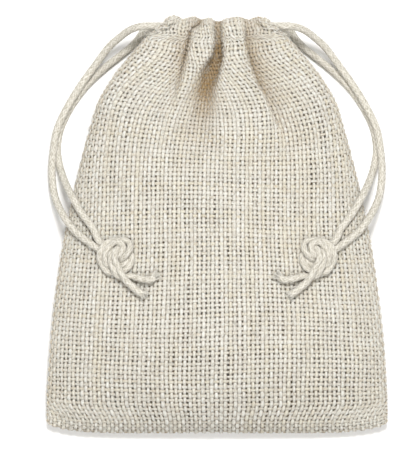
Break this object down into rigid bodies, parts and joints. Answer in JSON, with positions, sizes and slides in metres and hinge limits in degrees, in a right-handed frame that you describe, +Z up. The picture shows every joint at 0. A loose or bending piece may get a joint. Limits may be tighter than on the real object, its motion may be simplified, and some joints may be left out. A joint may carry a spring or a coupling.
{
  "type": "drawstring pouch",
  "caption": "Small open-weave burlap pouch lying on its back, its mouth drawn shut by opposed drawcords that run in sewn casings, each cord's ends tied in an overhand knot.",
  "frame": {"origin": "on the table under the middle of the pouch's cloth body, halfway from the bottom fold to the top edge", "axes": "+X to the pouch's right side seam as seen from above, +Y from the bottom fold to the mouth, +Z up from the table through the front panel"},
  "size_m": [0.1, 0.1224, 0.0222],
  "materials": {
    "burlap": "undyed off-white burlap, open plain weave, matte",
    "cotton_cord": "off-white braided cotton cord, matte, frayed at its ends"
  },
  "bodies": {
    "pouch": {"front_panel": "burlap", "back_panel": "burlap", "front_casing": "burlap", "back_casing": "burlap", "left_side_seam": "burlap", "right_side_seam": "burlap"},
    "left_cord": {"left_drawcord": "cotton_cord", "left_knot": "cotton_cord", "left_inner_tail": "cotton_cord", "left_outer_tail": "cotton_cord"},
    "right_cord": {"right_drawcord": "cotton_cord", "right_knot": "cotton_cord", "right_inner_tail": "cotton_cord", "right_outer_tail": "cotton_cord"}
  },
  "joints": [
    {"name": "left_cord_pull", "type": "slide", "parent": "pouch", "child": "left_cord", "axis": [-1, 0, 0], "range_m": [0, 0.0035]},
    {"name": "right_cord_pull", "type": "slide", "parent": "pouch", "child": "right_cord", "axis": [1, 0, 0], "range_m": [0, 0.0035]}
  ]
}
